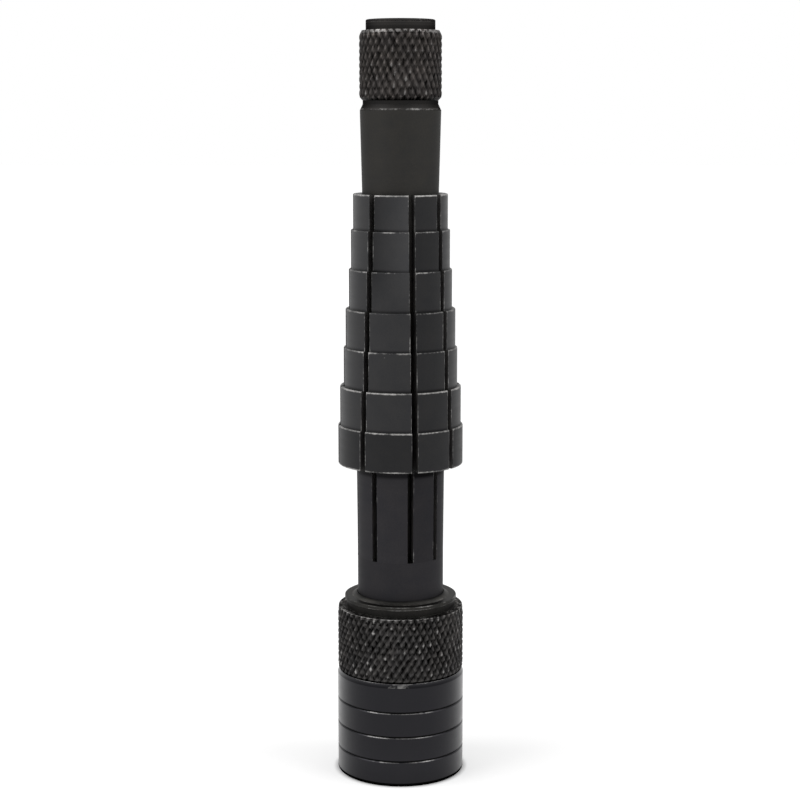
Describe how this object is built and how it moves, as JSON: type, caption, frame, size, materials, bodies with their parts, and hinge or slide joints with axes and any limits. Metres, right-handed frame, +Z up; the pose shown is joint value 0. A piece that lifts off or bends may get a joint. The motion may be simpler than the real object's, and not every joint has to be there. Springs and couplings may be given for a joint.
{
  "type": "ring stretcher",
  "caption": "Slim upright steel ring stretcher: a slotted step collet spread by a tapered draw pin, over a knurled collar and a round base.",
  "frame": {"origin": "centre of the foot, on the surface that the tool stands on", "axes": "+Z up along the tool's axis; -Y towards the front"},
  "size_m": [0.0254, 0.0254, 0.1498],
  "materials": {
    "base_steel": "semi-gloss black oxide",
    "collar_steel": "satin black oxide",
    "collet_steel": "matt black oxide",
    "pin_steel": "satin black oxide",
    "hard_steel": "ground steel",
    "bronze": "machined bronze"
  },
  "bodies": {
    "base": {"base_body": "base_steel", "base_plug": "base_steel", "draw_nut": "bronze", "nut_key_1": "hard_steel", "nut_key_2": "hard_steel", "thrust_washer": "bronze", "retaining_ring": "hard_steel"},
    "collet": {"knurled_collar": "collar_steel", "collet_neck": "collet_steel"},
    "pin": {"draw_pin": "pin_steel"},
    "jaw_1": {"collet_jaw_1": "collet_steel"},
    "jaw_2": {"collet_jaw_2": "collet_steel"},
    "jaw_3": {"collet_jaw_3": "collet_steel"},
    "jaw_4": {"collet_jaw_4": "collet_steel"},
    "jaw_5": {"collet_jaw_5": "collet_steel"},
    "jaw_6": {"collet_jaw_6": "collet_steel"},
    "jaw_7": {"collet_jaw_7": "collet_steel"},
    "jaw_8": {"collet_jaw_8": "collet_steel"}
  },
  "joints": [
    {"name": "collar_turn", "type": "hinge", "parent": "base", "child": "collet", "pos_m": [0, 0, 0.0213], "axis": [0, 0, -1], "range_deg": [-360, 2520]},
    {"name": "pin_draw", "type": "slide", "parent": "collet", "child": "pin", "axis": [0, 0, -1], "range_m": [-0.002, 0.014]},
    {"name": "jaw_1_flex", "type": "hinge", "parent": "collet", "child": "jaw_1", "pos_m": [0.00422, -0.00648, 0.0444], "axis": [0.8377, 0.5461, 0], "range_deg": [-0.064, 0.446]},
    {"name": "jaw_2_flex", "type": "hinge", "parent": "collet", "child": "jaw_2", "pos_m": [0.00749, -0.00192, 0.0444], "axis": [0.2487, 0.9686, 0], "range_deg": [-0.064, 0.446]},
    {"name": "jaw_3_flex", "type": "hinge", "parent": "collet", "child": "jaw_3", "pos_m": [0.00664, 0.00396, 0.0444], "axis": [-0.512, 0.859, 0], "range_deg": [-0.064, 0.446]},
    {"name": "jaw_4_flex", "type": "hinge", "parent": "collet", "child": "jaw_4", "pos_m": [0.00157, 0.00757, 0.0444], "axis": [-0.9792, 0.2028, 0], "range_deg": [-0.064, 0.446]},
    {"name": "jaw_5_flex", "type": "hinge", "parent": "collet", "child": "jaw_5", "pos_m": [-0.00422, 0.00648, 0.0444], "axis": [-0.8377, -0.5461, 0], "range_deg": [-0.064, 0.446]},
    {"name": "jaw_6_flex", "type": "hinge", "parent": "collet", "child": "jaw_6", "pos_m": [-0.00749, 0.00192, 0.0444], "axis": [-0.2487, -0.9686, 0], "range_deg": [-0.064, 0.446]},
    {"name": "jaw_7_flex", "type": "hinge", "parent": "collet", "child": "jaw_7", "pos_m": [-0.00664, -0.00396, 0.0444], "axis": [0.512, -0.859, 0], "range_deg": [-0.064, 0.446]},
    {"name": "jaw_8_flex", "type": "hinge", "parent": "collet", "child": "jaw_8", "pos_m": [-0.00157, -0.00757, 0.0444], "axis": [0.9792, -0.2028, 0], "range_deg": [-0.064, 0.446]}
  ],
  "couplings": [
    {"joint": "collar_turn", "follows": "pin_draw", "rad_per_m": 3141.6},
    {"joint": "jaw_1_flex", "follows": "pin_draw", "rad_per_m": 0.55432},
    {"joint": "jaw_2_flex", "follows": "pin_draw", "rad_per_m": 0.55432},
    {"joint": "jaw_3_flex", "follows": "pin_draw", "rad_per_m": 0.55432},
    {"joint": "jaw_4_flex", "follows": "pin_draw", "rad_per_m": 0.55432},
    {"joint": "jaw_5_flex", "follows": "pin_draw", "rad_per_m": 0.55432},
    {"joint": "jaw_6_flex", "follows": "pin_draw", "rad_per_m": 0.55432},
    {"joint": "jaw_7_flex", "follows": "pin_draw", "rad_per_m": 0.55432},
    {"joint": "jaw_8_flex", "follows": "pin_draw", "rad_per_m": 0.55432}
  ]
}
